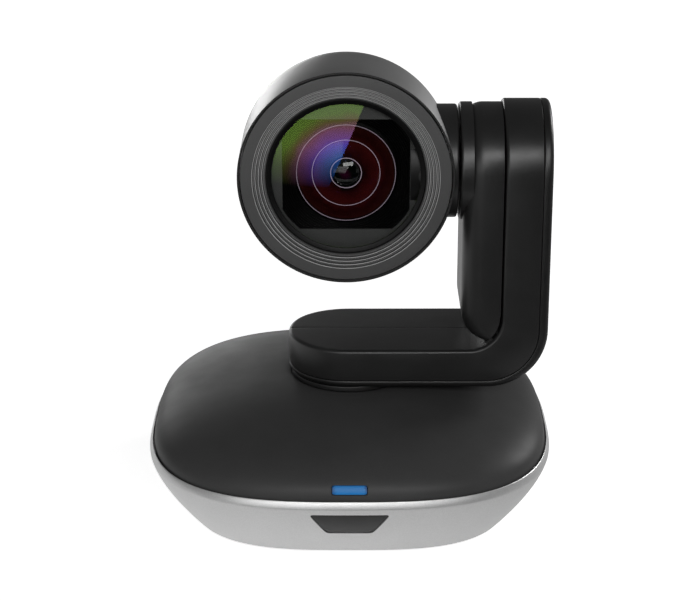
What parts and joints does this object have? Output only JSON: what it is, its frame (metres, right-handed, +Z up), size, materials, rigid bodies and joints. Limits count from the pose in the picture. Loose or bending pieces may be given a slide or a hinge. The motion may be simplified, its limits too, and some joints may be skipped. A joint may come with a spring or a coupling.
{
  "type": "pan tilt zoom conference camera",
  "caption": "Motorised conference camera: a round zoom lens head tilts on a one-sided L-shaped arm that pans on a rounded-square base with rear sockets.",
  "frame": {"origin": "middle of the footprint, on the surface that the rubber feet stand on, on the pan axis", "axes": "+Z up along the pan axis, -Y out of the lens at rest, +X towards the side the arm stands on"},
  "size_m": [0.1306, 0.1324, 0.146],
  "materials": {
    "charcoal_plastic": "satin",
    "black_plastic": "satin",
    "faceplate_plastic": "fine matt",
    "silver_paint": "silver paint, satin",
    "barrel_paint": "gunmetal paint, satin",
    "infrared_window": "gloss",
    "blue_light_pipe": "diffuse",
    "rubber": "matt",
    "steel": "plain",
    "brass": "turned",
    "gear_resin": "natural",
    "circuit_board": "solder mask",
    "flex_circuit": "satin",
    "glass": "polished, coated"
  },
  "bodies": {
    "base": {"base_top_cover": "charcoal_plastic", "base_lower_shell": "silver_paint", "bottom_plate": "black_plastic", "foot_rear_right": "rubber", "foot_rear_left": "rubber", "foot_front_left": "rubber", "foot_front_right": "rubber", "base_screw_rear_right": "steel", "base_screw_rear_left": "steel", "base_screw_front_left": "steel", "base_screw_front_right": "steel", "tripod_insert": "brass", "infrared_window": "infrared_window", "infrared_receiver": "black_plastic", "status_light_pipe": "blue_light_pipe", "led_board": "circuit_board", "main_board": "circuit_board", "heat_spreader": "steel", "rear_port_panel": "black_plastic", "power_jack": "black_plastic", "data_port": "steel", "video_port": "steel", "network_jack": "steel", "pan_frame": "steel", "pan_motor": "steel", "pan_bearing": "brass"},
    "pan_pinion_shaft": {"pan_pinion": "brass"},
    "arm": {"pan_turntable": "black_plastic", "pan_gear": "gear_resin", "pan_retaining_clip": "steel", "arm_front_shell": "charcoal_plastic", "arm_rear_shell": "charcoal_plastic", "arm_outer_cover": "black_plastic", "tilt_pod": "charcoal_plastic", "arm_frame": "steel", "tilt_motor": "steel", "tilt_bearing": "brass", "arm_cable": "flex_circuit"},
    "tilt_pinion_shaft": {"tilt_pinion": "brass"},
    "head": {"head_barrel": "barrel_paint", "head_rear_cap": "charcoal_plastic", "front_bezel": "faceplate_plastic", "lens_ring": "black_plastic", "front_lens": "glass", "lens_baffle": "black_plastic", "lens_housing": "black_plastic", "fixed_lens_cell": "black_plastic", "iris_unit": "black_plastic", "guide_rod_left": "steel", "guide_rod_right": "steel", "zoom_motor": "steel", "image_sensor_board": "circuit_board", "tilt_hub": "charcoal_plastic", "tilt_gear": "gear_resin"},
    "zoom_screw": {"zoom_lead_screw": "steel"},
    "zoom_carriage": {"zoom_lens_group": "black_plastic"},
    "focus_carriage": {"focus_lens_group": "black_plastic"}
  },
  "joints": [
    {"name": "pan", "type": "hinge", "parent": "base", "child": "arm", "pos_m": [0, 0, 0.0285], "axis": [0, 0, 1], "range_deg": [-130, 130]},
    {"name": "pan_pinion_spin", "type": "hinge", "parent": "base", "child": "pan_pinion_shaft", "pos_m": [-0.0264, 0, 0.0285], "axis": [0, 0, 1], "range_deg": [-590, 590]},
    {"name": "tilt", "type": "hinge", "parent": "arm", "child": "head", "pos_m": [0, 0, 0.1124], "axis": [-1, 0, 0], "range_deg": [-40, 90]},
    {"name": "tilt_pinion_spin", "type": "hinge", "parent": "arm", "child": "tilt_pinion_shaft", "pos_m": [0.054, 0, 0.0932], "axis": [-1, 0, 0], "range_deg": [-275, 125]},
    {"name": "zoom_screw_spin", "type": "hinge", "parent": "head", "child": "zoom_screw", "pos_m": [-0.0011, 0, 0.1289], "axis": [0, 1, 0], "range_deg": [-1265, 1265]},
    {"name": "zoom_slide", "type": "slide", "parent": "head", "child": "zoom_carriage", "axis": [0, 1, 0], "range_m": [-0.007, 0.007]},
    {"name": "focus_slide", "type": "slide", "parent": "head", "child": "focus_carriage", "axis": [0, 1, 0], "range_m": [-0.0015, 0.0015]}
  ],
  "couplings": [
    {"joint": "pan_pinion_spin", "follows": "pan", "ratio": -4.5},
    {"joint": "tilt_pinion_spin", "follows": "tilt", "ratio": -3},
    {"joint": "zoom_screw_spin", "follows": "zoom_slide", "rad_per_m": 3141.6}
  ]
}
